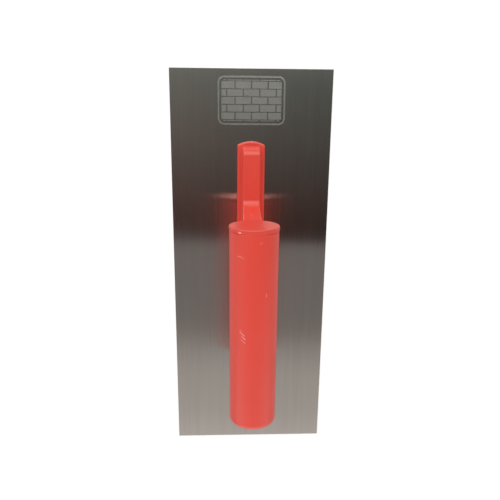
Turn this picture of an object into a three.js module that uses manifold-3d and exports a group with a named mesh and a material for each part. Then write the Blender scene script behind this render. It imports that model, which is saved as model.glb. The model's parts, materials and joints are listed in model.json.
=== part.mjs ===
// Steel finishing trowel: a thin brushed blade under a one-piece moulded plastic handle.
// Units are millimetres. The origin is the centre of the blade's working face, +Y points to the
// toe, +Z from the blade to the grip, and +X to the right of someone looking towards the toe.
import * as THREE from "three";
import { mergeVertices } from "three/addons/utils/BufferGeometryUtils.js";
import Module from "manifold-3d";

// Blade
const BLADE_LENGTH = 280;
const BLADE_WIDTH = 111;
const BLADE_THICKNESS = 0.8;
const BLADE_CORNER = 0.6;
const HOLE_RIM = 0.3; // flat rim round a screw's hole, on top of its dimple

// Foot: the flat strip of the handle that lies on the blade
const FOOT_LENGTH = 184;
const FOOT_WIDTH = 19;
const FOOT_TOP = 3.8;
const FOOT_END_RADIUS = 18.5;
const FOOT_EDGE = 1;

// Rib: the raised bar along the foot
const RIB_WIDTH = 12;
const RIB_TOP = 12;
const RIB_EDGE = 0.8;
const RIB_END = 88.1;
const NOSE_LENGTH = 5.4;
const NOSE_RISE = 6.2;

// Neck: the leaning post between the rib and the grip
const NECK_FRONT_FOOT = 49.5;
const NECK_DEPTH = 32;
const NECK_LEAN = 0.35; // how far it leans back for each millimetre that it rises
const NECK_FLARE = 2.2; // how much wider each side is where it meets the grip
const NECK_CORNER = 1;
const NECK_BEND = 4.2; // radius of the bends into the rib and the grip

// Grip: the round hollow handle
const GRIP_HEIGHT = 58;
const GRIP_FRONT = 42;
const GRIP_REAR = -88.5;
const GRIP_FRONT_RADIUS = 15.45;
const GRIP_FRONT_EDGE = 0.5;
const GRIP_REAR_RADIUS = 15.2;
const GRIP_WALL = 2.8;
const GRIP_END_WALL = 3.5;
const GRIP_END_EDGE = 3;
const GRIP_END_DOME = 0.9;
const BORE_CORNER = 2;

// Front cap: the plug that closes the grip's bore
const CAP_RADIUS = 15.75;
const CAP_FRONT = 44.7;
const CAP_EDGE = 0.7;
const CAP_BACK_EDGE = 0.45;
const CAP_WALL = 2.2;
const CAP_SKIRT = 13;
const CAP_SKIRT_WALL = 2;
const CAP_LEAD = 0.7; // taper on the skirt's end that leads it into the bore
const BEAD_RISE = 0.25; // how far the snap bead stands out of the skirt
const BEAD_FROM_END = 3;
const BEAD_HALF_WIDTH = 0.3;
const BEAD_SLOPE = 0.6;
const FIT_GAP = 0.3;

// Screws: countersunk, driven up through the blade into the foot and rib
const SCREW_COUNT = 6;
const SCREW_PITCH = 32;
const SCREW_LENGTH = 9.5;
const SCREW_RADIUS = 1.75;
const SCREW_POINT = 1.6;
const SCREW_TIP_RADIUS = 0.5;
const HEAD_RADIUS = 3.4;
const HEAD_SINK = 0.05;
const HEAD_RIM = 0.15;
const RECESS_DEPTH = 1.7;
const RECESS_MOUTH = [2.35, 0.5]; // half length and half width of a slot where it opens
const RECESS_FLOOR = [0.7, 0.35]; // and at its bottom
const RECESS_CORNER = 0.2;
const FIRST_TURN = 0.4; // how far round the first screw's slots came to rest, in radians
const NEXT_TURN = 0.7; // and each next one, further round than the last
const SHANK_GAP = 0.15;
const TIP_GAP = 0.5;

// The blade is pressed into a dimple round each screw. All of these are cones at 45 degrees,
// named by the radius that each would have at the working face.
const SEAT_RADIUS = HEAD_RADIUS + HEAD_SINK + HEAD_RIM + FIT_GAP;
const DIMPLE_RADIUS = SEAT_RADIUS + BLADE_THICKNESS * Math.SQRT2;
const SOCKET_RADIUS = DIMPLE_RADIUS + FIT_GAP;

const ROUND = 56; // segments round the grip and the cap
const SMALL_ROUND = 24; // segments round a screw and its hole
const ARC_STEPS = 5; // steps over a rounded edge
const SMALL_ARC_STEPS = 2; // steps over a small rounded corner
const PAST = 1; // how far a cutter runs past the face that it cuts
const QUARTER = Math.PI / 2; // a quarter of a turn

const wasm = await Module();
wasm.setup();

// ---- helpers -------------------------------------------------------------------------------

// A closed geometry as a manifold-3d solid.
function solid(geometry) {
  const bare = geometry.clone();
  bare.deleteAttribute("normal");
  bare.deleteAttribute("uv");
  const merged = mergeVertices(bare, 1e-4);
  return new wasm.Manifold(
    new wasm.Mesh({
      numProp: 3,
      vertProperties: new Float32Array(merged.attributes.position.array),
      triVerts: new Uint32Array(merged.index.array),
    }),
  );
}

// A manifold-3d solid back as a geometry.
function geometryOf(made) {
  const { numProp, vertProperties, triVerts, numVert } = made.getMesh();
  const position = new Float32Array(numVert * 3);
  for (let i = 0; i < numVert; i++) {
    position.set(vertProperties.subarray(i * numProp, i * numProp + 3), i * 3);
  }
  const geometry = new THREE.BufferGeometry();
  geometry.setAttribute("position", new THREE.BufferAttribute(position, 3));
  geometry.setIndex(new THREE.BufferAttribute(triVerts, 1));
  geometry.computeVertexNormals();
  return geometry;
}

// A closed outline of arcs, each [x, y, radius, from, to], joined by straight sides.
function outlineOfArcs(arcs) {
  const shape = new THREE.Shape();
  for (const arc of arcs) {
    shape.absarc(...arc);
  }
  return shape;
}

function roundedRectangle(halfWidth, low, high, radius) {
  const x = halfWidth - radius;
  return outlineOfArcs([
    [x, high - radius, radius, 0, QUARTER],
    [-x, high - radius, radius, QUARTER, 2 * QUARTER],
    [-x, low + radius, radius, 2 * QUARTER, 3 * QUARTER],
    [x, low + radius, radius, 3 * QUARTER, 4 * QUARTER],
  ]);
}

// A closed skin over level outlines, each [shape, z], from the lowest up. All have as many arcs.
function loft(levels, arcSteps) {
  const rings = levels.map(([shape, z]) => shape.getPoints(arcSteps).map(({ x, y }) => [x, y, z]));
  const count = rings[0].length;
  const faces = [];
  for (let r = 0; r + 1 < rings.length; r++) {
    for (let i = 0; i < count; i++) {
      const a = r * count + i;
      const b = r * count + ((i + 1) % count);
      faces.push(a, b, b + count, a, b + count, a + count);
    }
  }
  const last = (rings.length - 1) * count;
  for (let i = 1; i + 1 < count; i++) {
    faces.push(0, i + 1, i);
    faces.push(last, last + i, last + i + 1);
  }
  const geometry = new THREE.BufferGeometry();
  geometry.setAttribute("position", new THREE.Float32BufferAttribute(rings.flat(2), 3));
  geometry.setIndex(faces);
  return geometry;
}

// A quarter arc of [inset, rise] pairs, from the side of an edge to its top.
function roundedEdge(radius) {
  return Array.from({ length: ARC_STEPS + 1 }, (_, step) => {
    const angle = (step / ARC_STEPS) * QUARTER;
    return [radius * (1 - Math.cos(angle)), radius * Math.sin(angle)];
  });
}

// A body turned about the grip's axis, from [radius, y] pairs that run towards the toe.
function turnedAlongGrip(profile) {
  const points = profile.map(([radius, y]) => new THREE.Vector2(radius, y));
  return new THREE.LatheGeometry(points, ROUND).translate(0, 0, GRIP_HEIGHT);
}

// A body turned about a screw's axis at y, from [radius, z] pairs that run upwards.
function turnedAtScrew(profile, y) {
  const points = profile.map(([radius, z]) => new THREE.Vector2(radius, z));
  return new THREE.LatheGeometry(points, SMALL_ROUND).rotateX(QUARTER).translate(0, y, 0);
}

const screwPlaces = Array.from(
  { length: SCREW_COUNT },
  (_, i) => (i - (SCREW_COUNT - 1) / 2) * SCREW_PITCH,
);

// ---- blade ---------------------------------------------------------------------------------

// A cone at 45 degrees from the level given up to its narrowest radius.
function cone(faceRadius, narrowest, from, y) {
  const widest = faceRadius - from;
  const top = faceRadius - narrowest;
  return solid(turnedAtScrew([[0, from], [widest, from], [narrowest, top], [0, top]], y));
}

function column(radius, to, y) {
  return solid(turnedAtScrew([[0, -PAST], [radius, -PAST], [radius, to], [0, to]], y));
}

function bladeGeometry() {
  const halfLength = BLADE_LENGTH / 2;
  const outline = roundedRectangle(BLADE_WIDTH / 2, -halfLength, halfLength, BLADE_CORNER);
  const sheet = { depth: BLADE_THICKNESS, bevelEnabled: false, curveSegments: ARC_STEPS };
  let blade = solid(new THREE.ExtrudeGeometry(outline, sheet));
  const holeRadius = SCREW_RADIUS + SHANK_GAP;
  for (const y of screwPlaces) {
    blade = blade.add(cone(DIMPLE_RADIUS, holeRadius + HOLE_RIM, 0, y));
    blade = blade.subtract(cone(SEAT_RADIUS, holeRadius, -PAST, y));
    blade = blade.subtract(column(holeRadius, RIB_TOP, y));
  }
  return geometryOf(blade);
}

// ---- handle body ---------------------------------------------------------------------------

// The foot's outline, drawn in from its edge: straight sides and shallow round ends.
function footOutline(inset) {
  const radius = FOOT_END_RADIUS - inset;
  const centre = FOOT_LENGTH / 2 - FOOT_END_RADIUS;
  const half = Math.asin((FOOT_WIDTH / 2 - inset) / radius);
  return outlineOfArcs([
    [0, centre, radius, QUARTER - half, QUARTER + half],
    [0, -centre, radius, 3 * QUARTER - half, 3 * QUARTER + half],
  ]);
}

function foot() {
  const rounded = roundedEdge(FOOT_EDGE).map(([inset, rise]) => [
    footOutline(inset),
    FOOT_TOP - FOOT_EDGE + rise,
  ]);
  return solid(loft([[footOutline(0), BLADE_THICKNESS], ...rounded], ARC_STEPS));
}

// The rib's side view, along y and z, with a round nose at each end.
function ribSide() {
  const noseStart = RIB_END - NOSE_LENGTH;
  const noseFoot = RIB_TOP - NOSE_RISE;
  const buried = FOOT_TOP - 2 * RIB_EDGE;
  const shape = new THREE.Shape();
  shape.moveTo(-RIB_END, buried);
  shape.lineTo(RIB_END, buried);
  shape.absellipse(noseStart, noseFoot, NOSE_LENGTH, NOSE_RISE, 0, QUARTER);
  shape.absellipse(-noseStart, noseFoot, NOSE_LENGTH, NOSE_RISE, QUARTER, 2 * QUARTER);
  return shape;
}

function rib() {
  const depth = RIB_WIDTH - 2 * RIB_EDGE;
  const bar = new THREE.ExtrudeGeometry(ribSide(), {
    depth,
    curveSegments: ARC_STEPS,
    bevelThickness: RIB_EDGE,
    bevelSize: RIB_EDGE,
    bevelOffset: -RIB_EDGE,
    bevelSegments: ARC_STEPS,
  });
  bar.translate(0, 0, -depth / 2);
  const alongToe = new THREE.Vector3(0, 1, 0);
  const up = new THREE.Vector3(0, 0, 1);
  const across = new THREE.Vector3(1, 0, 0);
  bar.applyMatrix4(new THREE.Matrix4().makeBasis(alongToe, up, across));
  return solid(bar);
}

// How far a bend of the neck's radius stands out at a height above the level where it starts.
function bend(height) {
  const left = NECK_BEND - Math.min(Math.max(height, 0), NECK_BEND);
  return NECK_BEND - Math.sqrt(NECK_BEND ** 2 - left ** 2);
}

function neckOutline(z) {
  const height = z - RIB_TOP;
  const gripUnderside = GRIP_HEIGHT - GRIP_FRONT_RADIUS;
  const lean = NECK_LEAN * height;
  const front = Math.max(NECK_FRONT_FOOT - lean, GRIP_FRONT) + bend(height);
  const rear = NECK_FRONT_FOOT - NECK_DEPTH - lean - bend(height) - bend(gripUnderside - z);
  const halfWidth = RIB_WIDTH / 2 + NECK_FLARE * (height / (gripUnderside - RIB_TOP)) ** 3;
  return roundedRectangle(halfWidth, rear, front, NECK_CORNER);
}

function neck() {
  const hiddenRise = 3; // how far it runs on into the rib below and the grip's wall above
  const steps = 22;
  const rise = GRIP_HEIGHT - GRIP_FRONT_RADIUS + hiddenRise - RIB_TOP;
  const heights = Array.from({ length: steps + 1 }, (_, i) => RIB_TOP + (rise * i) / steps);
  const buried = [neckOutline(RIB_TOP), RIB_TOP - hiddenRise];
  return solid(loft([buried, ...heights.map((z) => [neckOutline(z), z])], SMALL_ARC_STEPS));
}

function gripRadius(y) {
  const share = (y - GRIP_REAR) / (GRIP_FRONT - GRIP_REAR);
  return GRIP_REAR_RADIUS + (GRIP_FRONT_RADIUS - GRIP_REAR_RADIUS) * share;
}

function gripOutside() {
  const dome = [0, 0.4, 0.75].map((share) => [
    (GRIP_REAR_RADIUS - GRIP_END_EDGE) * share,
    GRIP_REAR - GRIP_END_DOME * (1 - share ** 2),
  ]);
  const rearRound = roundedEdge(GRIP_END_EDGE)
    .map(([inset, back]) => [GRIP_REAR_RADIUS - inset, GRIP_REAR + GRIP_END_EDGE - back])
    .reverse();
  return solid(
    turnedAlongGrip([
      ...dome,
      ...rearRound,
      [GRIP_FRONT_RADIUS, GRIP_FRONT - GRIP_FRONT_EDGE],
      [GRIP_FRONT_RADIUS - GRIP_FRONT_EDGE, GRIP_FRONT],
      [0, GRIP_FRONT],
    ]),
  );
}

function gripBore() {
  const rear = GRIP_REAR + GRIP_END_WALL;
  const grooveAt = GRIP_FRONT - CAP_SKIRT + BEAD_FROM_END;
  const grooveHalf = BEAD_HALF_WIDTH + FIT_GAP;
  const front = gripRadius(GRIP_FRONT) - GRIP_WALL;
  const atGroove = gripRadius(grooveAt) - GRIP_WALL;
  const inGroove = atGroove + BEAD_RISE + FIT_GAP;
  return solid(
    turnedAlongGrip([
      [0, rear],
      [gripRadius(rear) - GRIP_WALL - BORE_CORNER, rear],
      [gripRadius(rear) - GRIP_WALL, rear + BORE_CORNER],
      [atGroove, grooveAt - grooveHalf - BEAD_SLOPE],
      [inGroove, grooveAt - grooveHalf],
      [inGroove, grooveAt + grooveHalf],
      [atGroove, grooveAt + grooveHalf + BEAD_SLOPE],
      [front, GRIP_FRONT + PAST],
      [0, GRIP_FRONT + PAST],
    ]),
  );
}

function handleGeometry() {
  let body = foot().add(rib());
  body = body.add(neck());
  body = body.add(gripOutside());
  body = body.subtract(gripBore());
  for (const y of screwPlaces) {
    body = body.subtract(cone(SOCKET_RADIUS, SCREW_RADIUS, -PAST, y));
    body = body.subtract(column(SCREW_RADIUS + SHANK_GAP, HEAD_SINK + SCREW_LENGTH + TIP_GAP, y));
  }
  return geometryOf(body);
}

// ---- front cap -----------------------------------------------------------------------------

function capGeometry() {
  const skirtRadius = gripRadius(GRIP_FRONT) - GRIP_WALL - FIT_GAP;
  const inner = skirtRadius - CAP_SKIRT_WALL;
  const innerFace = CAP_FRONT - CAP_WALL;
  const skirtEnd = GRIP_FRONT - CAP_SKIRT;
  const beadAt = skirtEnd + BEAD_FROM_END;
  const faceEdge = roundedEdge(CAP_EDGE).map(([inset, rise]) => [
    CAP_RADIUS - inset,
    CAP_FRONT - CAP_EDGE + rise,
  ]);
  return turnedAlongGrip([
    [0, innerFace],
    [inner - CAP_EDGE, innerFace],
    [inner, innerFace - CAP_EDGE],
    [inner, skirtEnd],
    [skirtRadius - CAP_LEAD, skirtEnd],
    [skirtRadius, skirtEnd + CAP_LEAD],
    [skirtRadius, beadAt - BEAD_HALF_WIDTH - BEAD_SLOPE],
    [skirtRadius + BEAD_RISE, beadAt - BEAD_HALF_WIDTH],
    [skirtRadius + BEAD_RISE, beadAt + BEAD_HALF_WIDTH],
    [skirtRadius, beadAt + BEAD_HALF_WIDTH + BEAD_SLOPE],
    [skirtRadius, GRIP_FRONT],
    [CAP_RADIUS - CAP_BACK_EDGE, GRIP_FRONT],
    [CAP_RADIUS, GRIP_FRONT + CAP_BACK_EDGE],
    ...faceEdge,
    [0, CAP_FRONT],
  ]);
}

// ---- screws --------------------------------------------------------------------------------

// One slot of the cross recess. It narrows as it rises into the head.
function recessSlot(y, turn) {
  const outline = ([length, width]) => roundedRectangle(length, -width, width, RECESS_CORNER);
  const depth = HEAD_SINK + RECESS_DEPTH;
  const slot = loft([[outline(RECESS_MOUTH), -PAST], [outline(RECESS_FLOOR), depth]], 1);
  return solid(slot.rotateZ(turn).translate(0, y, 0));
}

function screwGeometry(y, turn) {
  const neckAt = HEAD_SINK + HEAD_RIM + HEAD_RADIUS - SCREW_RADIUS;
  const end = HEAD_SINK + SCREW_LENGTH;
  const body = solid(
    turnedAtScrew(
      [
        [0, HEAD_SINK],
        [HEAD_RADIUS, HEAD_SINK],
        [HEAD_RADIUS, HEAD_SINK + HEAD_RIM],
        [SCREW_RADIUS, neckAt],
        [SCREW_RADIUS, end - SCREW_POINT],
        [SCREW_TIP_RADIUS, end],
        [0, end],
      ],
      y,
    ),
  );
  const slotted = body.subtract(recessSlot(y, turn));
  return geometryOf(slotted.subtract(recessSlot(y, turn + QUARTER)));
}

// ---- assembly ------------------------------------------------------------------------------

function finish(color, roughness, metalness) {
  return new THREE.MeshStandardMaterial({ color, roughness, metalness });
}

const brushedSteel = finish(0x8d8780, 0.35, 1);
const redPlastic = finish(0xe0483a, 0.4, 0);
const zincSteel = finish(0xb9b9b4, 0.3, 1);

function piece(name, geometry, material) {
  const mesh = new THREE.Mesh(geometry, material);
  mesh.name = name;
  return mesh;
}

const trowel = new THREE.Group();
trowel.add(piece("blade", bladeGeometry(), brushedSteel));
trowel.add(piece("handle_body", handleGeometry(), redPlastic));
trowel.add(piece("grip_front_cap", capGeometry(), redPlastic));
screwPlaces.forEach((y, i) => {
  const turn = FIRST_TURN + NEXT_TURN * i;
  trowel.add(piece(`blade_screw_${i + 1}`, screwGeometry(y, turn), zincSteel));
});

export default trowel;
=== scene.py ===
"""A steel finishing trowel: brushed blade, one-piece moulded plastic handle, front cap and screws."""

import json
import math
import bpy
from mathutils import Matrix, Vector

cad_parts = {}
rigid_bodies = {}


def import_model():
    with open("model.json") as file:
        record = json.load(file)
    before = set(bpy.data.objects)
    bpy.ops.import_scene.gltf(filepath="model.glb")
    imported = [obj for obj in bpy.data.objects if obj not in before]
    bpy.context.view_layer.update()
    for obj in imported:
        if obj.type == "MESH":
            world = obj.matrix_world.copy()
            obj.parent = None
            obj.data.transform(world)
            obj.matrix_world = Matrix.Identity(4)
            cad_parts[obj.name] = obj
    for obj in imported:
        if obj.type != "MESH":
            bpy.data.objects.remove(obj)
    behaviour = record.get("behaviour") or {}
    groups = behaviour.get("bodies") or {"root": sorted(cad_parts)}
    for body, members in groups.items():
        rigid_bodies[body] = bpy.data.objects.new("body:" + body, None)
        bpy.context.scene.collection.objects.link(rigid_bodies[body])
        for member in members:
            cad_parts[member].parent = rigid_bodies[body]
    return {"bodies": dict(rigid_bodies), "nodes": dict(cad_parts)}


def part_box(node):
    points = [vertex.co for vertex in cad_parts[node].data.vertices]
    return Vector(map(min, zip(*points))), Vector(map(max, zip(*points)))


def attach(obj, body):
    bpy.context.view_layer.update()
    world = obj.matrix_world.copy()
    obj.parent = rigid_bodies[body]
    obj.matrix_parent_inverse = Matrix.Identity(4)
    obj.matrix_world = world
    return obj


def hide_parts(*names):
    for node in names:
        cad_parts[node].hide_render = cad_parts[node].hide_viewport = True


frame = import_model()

from types import SimpleNamespace

import bpy
import numpy as np
from bpy.props import FloatProperty, FloatVectorProperty, IntProperty, PointerProperty
from mathutils import Matrix, Vector

bl_info = {
    "name": "Finishing trowel",
    "version": (1, 0, 0),
    "blender": (4, 5, 0),
    "location": "View3D > Sidebar > Trowel",
    "description": "Makes a finishing trowel round its packed frame, piece by piece",
    "category": "Add Mesh",
}

MM = 0.001
BODY = "root" if "root" in frame["bodies"] else next(iter(frame["bodies"]))
SCREWS = sorted(name for name in frame["nodes"] if name.startswith("blade_screw"))

# The frame's boxes give the sizes that the pieces share.
BLADE_LOW, BLADE_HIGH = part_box("blade")
HANDLE_LOW, HANDLE_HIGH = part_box("handle_body")
CAP_LOW, CAP_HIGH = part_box("grip_front_cap")
SCREW_LOW, SCREW_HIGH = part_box(SCREWS[0])
NEXT_SCREW_LOW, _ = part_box(SCREWS[1])
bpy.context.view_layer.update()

GRIP_RADIUS = (HANDLE_HIGH.x - HANDLE_LOW.x) / 2
GRIP_HEIGHT = HANDLE_HIGH.z - GRIP_RADIUS
HEAD_RADIUS = (SCREW_HIGH.x - SCREW_LOW.x) / 2
HEAD_RIM = 0.15 * MM

# The scratches on top of the grip: where each starts and ends, seen from above, in millimetres, and
# how strongly it shows.
SCRATCH_WIDTH = 0.42 * MM
SCRATCHES = [
    ((-10.3, 28.1), (-8.5, 28.1), 0.35),
    ((-8.5, 28.1), (-6.6, 27.1), 0.3),
    ((3.1, 36.5), (4.0, 37.1), 0.35),
    ((7.2, 5.0), (7.2, 3.0), 0.35),
    ((-8.8, -19.0), (-7.6, -19.6), 0.35),
    ((-8.8, -20.3), (-6.3, -22.3), 0.7),
    ((-7.6, -23.0), (-5.6, -24.7), 0.7),
    ((-8.0, -25.2), (-5.8, -27.1), 0.4),
]

# Pale spots, a painted highlight on the cap's rim and the nicks in the neck and the foot: the middle
# of each and its half size, in millimetres, and how strongly it shows.
NICKS_AND_GLINT = [
    # The first spot is a painted highlight: a pale glint painted on the cap's rim, not a nick.
    ((-9.0, 42.7, 70.6), (1.9, 0.8, 1.1), 1.0),
    ((-0.4, 45.1, 24.7), (0.6, 0.8, 1.3), 0.6),
    ((0.0, 43.4, 30.0), (0.35, 1.0, 3.4), 0.3),
    ((-0.6, 48.4, 14.5), (0.5, 0.6, 0.6), 0.3),
    ((0.3, 92.0, 3.2), (0.5, 1.2, 1.0), 0.5),
]

# The room's light, from the heel's side over the top to the toe's side: the angle from overhead in
# degrees, and the colour there.
ROOM = [
    (-90, (1.0, 0.98, 0.96)),
    (-60, (0.78, 0.77, 0.75)),
    (-42, (0.45, 0.44, 0.43)),
    (-32, (0.243, 0.239, 0.231)),
    (-28, (0.226, 0.222, 0.214)),
    (-25.5, (0.176, 0.172, 0.167)),
    (-23.5, (0.113, 0.109, 0.107)),
    (-21, (0.108, 0.105, 0.103)),
    (-14.1, (0.106, 0.102, 0.100)),
    (-13.6, (0.0160, 0.0090, 0.0085)),
    (-9.5, (0.0275, 0.0205, 0.019)),
    (-5, (0.036, 0.0330, 0.0315)),
    (-1, (0.045, 0.046, 0.044)),
    (4, (0.055, 0.064, 0.062)),
    (11, (0.20, 0.20, 0.195)),
    (16, (0.75, 0.74, 0.72)),
    (35, (0.78, 0.77, 0.75)),
    (90, (0.42, 0.41, 0.40)),
]

# The dark patch overhead: the angles over which it fades in and out, in degrees, and its tint on the
# left and on the right.
PATCH_START = (-13.5, -12.5)
PATCH_END = (5, 11)
PATCH_TINTS = ((2.2, 1.95, 1.90), (0.85, 0.90, 0.88))

# The side walls, left and right, and what the camera sees behind the trowel.
WALLS = ((0.14, 0.138, 0.135), (0.07, 0.069, 0.068))
BACKDROP = (0.95, 0.95, 0.95)

# The camera's place, and its turn from straight down in degrees about X, Y and Z at once.
CAMERA_PLACE = (-15.9 * MM, 111.9 * MM, 373.0 * MM)
CAMERA_TURN = (14.74, 2.35, -0.21)


# ---- sizes and colours that a user would change --------------------------------------------


def length(name, description, default):
    return FloatProperty(name=name, description=description, default=default, unit="LENGTH", precision=5)


def watts(name, description, default):
    return FloatProperty(name=name, description=description, default=default, unit="POWER")


def amount(name, description, default):
    return FloatProperty(name=name, description=description, default=default)


def colour(name, description, default):
    return FloatVectorProperty(
        name=name, description=description, default=default, subtype="COLOR", size=3, min=0.0, max=1.0
    )


class TROWEL_PG_blade(bpy.types.PropertyGroup):
    """Sizes of the steel blade"""

    thickness: length("Thickness", "Thickness of the sheet", HANDLE_LOW.z - BLADE_LOW.z)
    edge: length("Broken edge", "How far the sheet's sharp edges are taken off", 0.12 * MM)
    seat_gap: length("Seat gap", "Room between a screw's head and its seat", 0.3 * MM)
    hole_radius: length("Hole radius", "Radius of the hole for a screw's shank", 1.9 * MM)
    collar: length("Collar", "Width of the flat ring round each hole, on top of its dimple", 0.3 * MM)
    mark_place: length("Mark place", "Distance of the etched mark's middle from the toe", 20.8 * MM)
    mark_length: length("Mark length", "How long the etched mark is across the blade", 46 * MM)
    mark_course: length("Mark course", "Height of one course of bricks in the etched mark", 5.1 * MM)
    mark_rows: IntProperty(name="Mark rows", description="How many courses the etched mark has", default=5)


class TROWEL_PG_handle(bpy.types.PropertyGroup):
    """Sizes of the moulded handle"""

    foot_width: length("Foot width", "Width of the strip that lies on the blade", 19 * MM)
    foot_top: length("Foot top", "Height of the strip's top above the working face", 3.8 * MM)
    foot_end_radius: length("Foot end radius", "Radius of the strip's round ends", 18.5 * MM)
    foot_corner: length("Foot corner", "Radius of the corners of the foot, seen from above", 0.6 * MM)
    foot_base: length("Foot base", "Rounding of the strip's edge on the blade", 0.35 * MM)
    foot_edge: length("Foot edge", "Rounding of the strip's top edge", 1.1 * MM)
    rib_width: length("Rib width", "Width of the raised bar along the foot", 12 * MM)
    rib_top: length("Rib top", "Height of the bar's top above the working face", 12 * MM)
    rib_end: length("Rib end", "Distance of the bar's ends from the middle", 88.1 * MM)
    nose_length: length("Nose length", "How far the bar's round nose reaches back", 5.4 * MM)
    nose_rise: length("Nose rise", "How far the bar's round nose reaches down", 6.2 * MM)
    edge: length("Edge", "Rounding of the bar's and the neck's long edges", 0.9 * MM)
    corner: length("Inner corner", "Fillet between the bar and the foot", 0.5 * MM)
    neck_front: length("Neck front", "Where the neck's front face meets the bar", 49.2 * MM)
    neck_depth: length("Neck depth", "Depth of the neck from front to rear", 32 * MM)
    neck_lean: amount("Neck lean", "How far the neck leans back for its height", 0.35)
    neck_flare: length("Neck flare", "How much each side of the neck widens up to the grip", 2.2 * MM)
    neck_bend: length("Neck bend", "Fillet between the neck and the bar", 3.4 * MM)
    grip_blend: length("Grip blend", "Fillet between the neck and the grip", 2.5 * MM)
    grip_front: length("Grip front", "Where the round grip ends, behind its cap", 42 * MM)
    grip_rear: length("Grip rear", "Where the round grip's closed end is", -88.5 * MM)
    grip_taper: length("Grip taper", "How much thinner the grip is at its rear", 0.25 * MM)
    grip_wall: length("Grip wall", "Thickness of the hollow grip's wall", 2.8 * MM)
    rear_wall: length("Rear wall", "Thickness of the grip's closed end", 3.5 * MM)
    bore_corner: length("Bore corner", "Rounding inside the grip's closed end", 2 * MM)
    rear_edge: length("Rear edge", "Rounding of the grip's closed end", 3.0 * MM)
    rear_dome: length("Rear dome", "How far the grip's closed end bulges", 0.9 * MM)
    front_edge: length("Front edge", "Rounding of the grip's open end", 0.5 * MM)
    cell: length("Mesh cell", "Size of the mesh's faces", 0.6 * MM)


class TROWEL_PG_cap(bpy.types.PropertyGroup):
    """Sizes of the cap that closes the grip"""

    edge: length("Face edge", "Rounding round the cap's face", 0.7 * MM)
    back_edge: length("Back edge", "Rounding behind the cap's rim", 0.45 * MM)
    dish: length("Dish", "How deep the cap's face is dished", 0.12 * MM)
    skirt_gap: length("Skirt gap", "Room between the cap's skirt and the bore", 0.35 * MM)
    skirt_wall: length("Skirt wall", "Thickness of the cap's skirt", 2.0 * MM)
    face_wall: length("Face wall", "Thickness of the cap's face", 2.2 * MM)
    inside_corner: length("Inside corner", "Rounding between the face and the skirt, inside", 0.8 * MM)
    bead_place: length("Bead place", "Distance of the snap bead from the skirt's end", 3 * MM)
    bead_rise: length("Bead rise", "How far the snap bead stands out of the skirt", 0.25 * MM)
    bead_half: length("Bead half", "Half the length of the snap bead along the skirt", 0.8 * MM)
    groove_depth: length("Groove depth", "Depth of the groove in the bore for the snap bead", 0.5 * MM)


class TROWEL_PG_screws(bpy.types.PropertyGroup):
    """Sizes of the screws"""

    count: IntProperty(name="Count", description="How many screws hold the blade", default=len(SCREWS))
    pitch: length("Spacing", "Distance from one screw to the next", NEXT_SCREW_LOW.y - SCREW_LOW.y)
    shank_radius: length("Shank radius", "Radius over the threads", 1.75 * MM)
    thread_pitch: length("Thread pitch", "Distance from one thread to the next", 1.3 * MM)
    thread_depth: length("Thread depth", "Depth of the thread", 0.45 * MM)
    tip_length: length("Tip length", "How long the narrowing tip is", 1.8 * MM)
    recess_depth: length("Recess depth", "Depth of the cross recess", 1.7 * MM)
    turn: FloatProperty(
        name="Turn", description="How much further each screw is turned than the last", default=0.7,
        subtype="ANGLE", unit="ROTATION"
    )


class TROWEL_PG_finish(bpy.types.PropertyGroup):
    """Colours of the finishes"""

    plastic: colour("Plastic", "Colour of the moulded handle", (0.745, 0.055, 0.035))
    # The scuff colour also paints the highlight on the cap's rim and the highlight along the parting line.
    scuff_and_glint: colour("Scuffs", "Colour of the scratches in the plastic", (0.90, 0.46, 0.42))
    steel: colour("Blade steel", "Colour of the brushed blade", (0.588, 0.538, 0.50))
    etching: colour("Etching", "Colour of the etched mark", (0.63, 0.65, 0.61))
    dust: colour("Dust", "Colour of the specks of dust on the blade", (0.85, 0.85, 0.82))
    zinc: colour("Screw zinc", "Colour of the plated screws", (0.66, 0.66, 0.63))
    floor: colour("Floor", "Colour of the floor", (0.54, 0.54, 0.54))
    floor_glow: amount("Floor glow", "How much lighter the floor is where it is looked at", 0.56)


class TROWEL_PG_stage(bpy.types.PropertyGroup):
    """The camera and the lights"""

    lens: FloatProperty(
        name="Lens", description="Focal length of the camera in millimetres", default=37.9, unit="CAMERA"
    )
    key: watts("Key light", "Power of the key light", 1.9)
    lamp: watts("Small lamp", "Power of the small lamp", 0.3)
    room: amount("Room light", "Strength of the light from all round", 2.2)


GROUPS = {
    "trowel_blade": TROWEL_PG_blade,
    "trowel_handle": TROWEL_PG_handle,
    "trowel_cap": TROWEL_PG_cap,
    "trowel_screws": TROWEL_PG_screws,
    "trowel_finish": TROWEL_PG_finish,
    "trowel_stage": TROWEL_PG_stage,
}


# ---- meshes --------------------------------------------------------------------------------


def new_piece(name, vertices, faces):
    """An object at the origin, with its place in its mesh and its faces smooth."""
    mesh = bpy.data.meshes.new(name)
    mesh.from_pydata([tuple(v) for v in vertices], [], [tuple(f) for f in faces])
    mesh.validate()
    mesh.shade_smooth()
    piece = bpy.data.objects.new(name, mesh)
    bpy.context.scene.collection.objects.link(piece)
    return piece


def settle(piece):
    """Applies the piece's modifiers, so that it is one plain mesh."""
    depsgraph = bpy.context.evaluated_depsgraph_get()
    finished = bpy.data.meshes.new_from_object(piece.evaluated_get(depsgraph))
    if not finished.polygons:
        raise RuntimeError(f"{piece.name} came out empty")
    piece.modifiers.clear()
    piece.data = finished
    return piece


def sharpen(piece, degrees):
    """Smooth faces, with a crease wherever two meet at more than this angle."""
    piece.data.shade_smooth()
    piece.data.set_sharp_from_angle(angle=math.radians(degrees))


def join_frame(piece, material, slot, *nodes):
    """Gives the piece its finish and puts it in the place of its CAD nodes."""
    piece.data.materials.clear()
    piece.data.materials.append(material)
    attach(piece, BODY)
    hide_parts(*nodes)


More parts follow.
